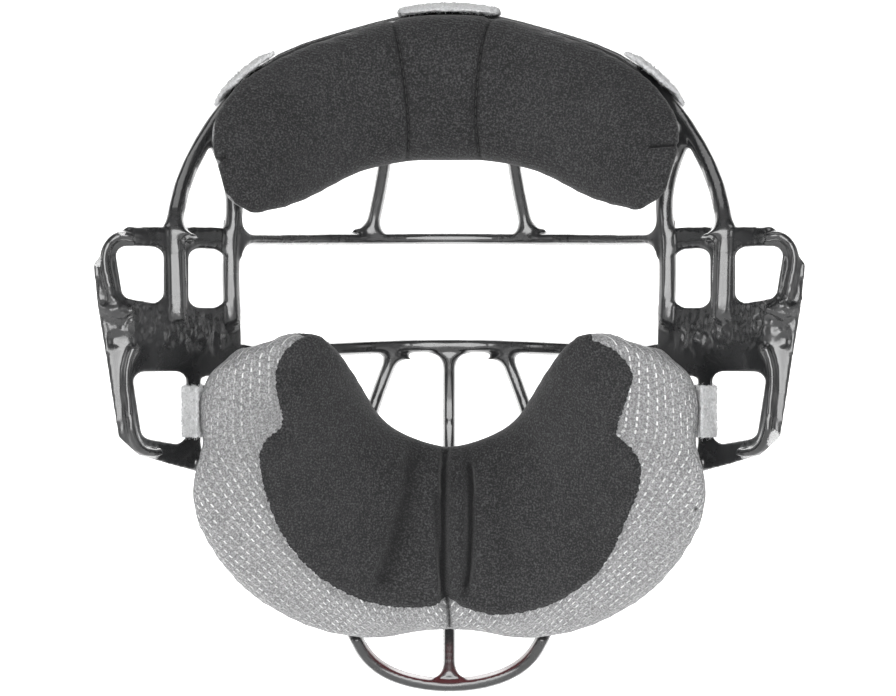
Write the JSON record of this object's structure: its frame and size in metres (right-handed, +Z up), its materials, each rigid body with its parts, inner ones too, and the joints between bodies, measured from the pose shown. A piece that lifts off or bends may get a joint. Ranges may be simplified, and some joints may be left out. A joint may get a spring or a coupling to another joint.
{
  "type": "catchers mask",
  "caption": "Open cast-frame face mask with pierced ear plates, a crescent forehead pad and a U-shaped chin pad held on by hook-and-loop straps.",
  "frame": {"origin": "middle of the line between the two ear flanges, at eye level, where the wearer's head is", "axes": "+Z up, +Y towards the wearer, +X towards the wearer's left"},
  "size_m": [0.2526, 0.1167, 0.2624],
  "materials": {
    "black_coated_casting": "satin black powder coat on a light alloy casting",
    "foam": "closed-cell foam",
    "loop_fabric": "fuzzy light grey loop fabric",
    "hook_patch": "dense hook tape",
    "grey_mesh": "woven mesh with glossy diagonal threads",
    "black_stretch_fabric": "fine knit, matt black"
  },
  "bodies": {
    "cage": {"brow_bar": "black_coated_casting", "centre_bar": "black_coated_casting", "cheek_bar_left": "black_coated_casting", "cheek_bar_right": "black_coated_casting", "chin_cross_bar": "black_coated_casting", "chin_loop": "black_coated_casting", "ear_plate_left": "black_coated_casting", "ear_plate_right": "black_coated_casting", "forehead_bar_left": "black_coated_casting", "forehead_bar_right": "black_coated_casting", "inner_upright_left": "black_coated_casting", "inner_upright_right": "black_coated_casting", "jaw_bar_left": "black_coated_casting", "jaw_bar_right": "black_coated_casting", "lower_eye_bar": "black_coated_casting", "top_arch_bar": "black_coated_casting"},
    "forehead_pad": {"forehead_backing": "grey_mesh", "forehead_foam": "foam", "forehead_hook_patches": "hook_patch", "forehead_panel_centre": "black_stretch_fabric", "forehead_panel_left": "black_stretch_fabric", "forehead_panel_right": "black_stretch_fabric", "forehead_strap_centre": "loop_fabric", "forehead_strap_left": "loop_fabric", "forehead_strap_right": "loop_fabric"},
    "chin_pad": {"chin_face_left": "black_stretch_fabric", "chin_face_right": "black_stretch_fabric", "chin_foam_left": "foam", "chin_foam_right": "foam", "chin_hook_patches": "hook_patch", "chin_mesh_left": "grey_mesh", "chin_mesh_right": "grey_mesh", "chin_strap_left": "loop_fabric", "chin_strap_lower": "loop_fabric", "chin_strap_right": "loop_fabric"},
    "chin_tab_left": {"chin_tab_left": "loop_fabric"},
    "chin_tab_lower": {"chin_tab_lower": "loop_fabric"},
    "chin_tab_right": {"chin_tab_right": "loop_fabric"},
    "forehead_tab_centre": {"forehead_tab_centre": "loop_fabric"},
    "forehead_tab_left": {"forehead_tab_left": "loop_fabric"},
    "forehead_tab_right": {"forehead_tab_right": "loop_fabric"}
  },
  "joints": [
    {"name": "forehead_pad_off", "type": "slide", "parent": "cage", "child": "forehead_pad", "axis": [0, 1, 0], "range_m": [0, 0.09], "deforming": ["forehead_strap_centre", "forehead_strap_left", "forehead_strap_right", "forehead_tab_centre", "forehead_tab_left", "forehead_tab_right"]},
    {"name": "chin_pad_off", "type": "slide", "parent": "cage", "child": "chin_pad", "axis": [0, 1, 0], "range_m": [0, 0.09], "deforming": ["chin_strap_left", "chin_strap_lower", "chin_strap_right", "chin_tab_left", "chin_tab_lower", "chin_tab_right"]},
    {"name": "chin_tab_left_peel", "type": "hinge", "parent": "chin_pad", "child": "chin_tab_left", "pos_m": [0.08977, -0.03912, -0.0441], "axis": [0, 0, 1], "range_deg": [0, 100]},
    {"name": "chin_tab_lower_peel", "type": "hinge", "parent": "chin_pad", "child": "chin_tab_lower", "pos_m": [-0.0045, -0.10893, -0.10257], "axis": [0, -0.2519, 0.9678], "range_deg": [0, 100]},
    {"name": "chin_tab_right_peel", "type": "hinge", "parent": "chin_pad", "child": "chin_tab_right", "pos_m": [-0.08977, -0.03912, -0.0441], "axis": [0, 0, -1], "range_deg": [0, 100]},
    {"name": "forehead_tab_centre_peel", "type": "hinge", "parent": "forehead_pad", "child": "forehead_tab_centre", "pos_m": [0, -0.0809, 0.0993], "axis": [-1, 0, 0], "range_deg": [0, 100]},
    {"name": "forehead_tab_left_peel", "type": "hinge", "parent": "forehead_pad", "child": "forehead_tab_left", "pos_m": [0.0743, -0.0593, 0.07067], "axis": [-0.6187, -0.4369, 0.6529], "range_deg": [0, 100]},
    {"name": "forehead_tab_right_peel", "type": "hinge", "parent": "forehead_pad", "child": "forehead_tab_right", "pos_m": [-0.0743, -0.0593, 0.07067], "axis": [-0.6187, 0.4369, -0.6529], "range_deg": [0, 100]}
  ]
}
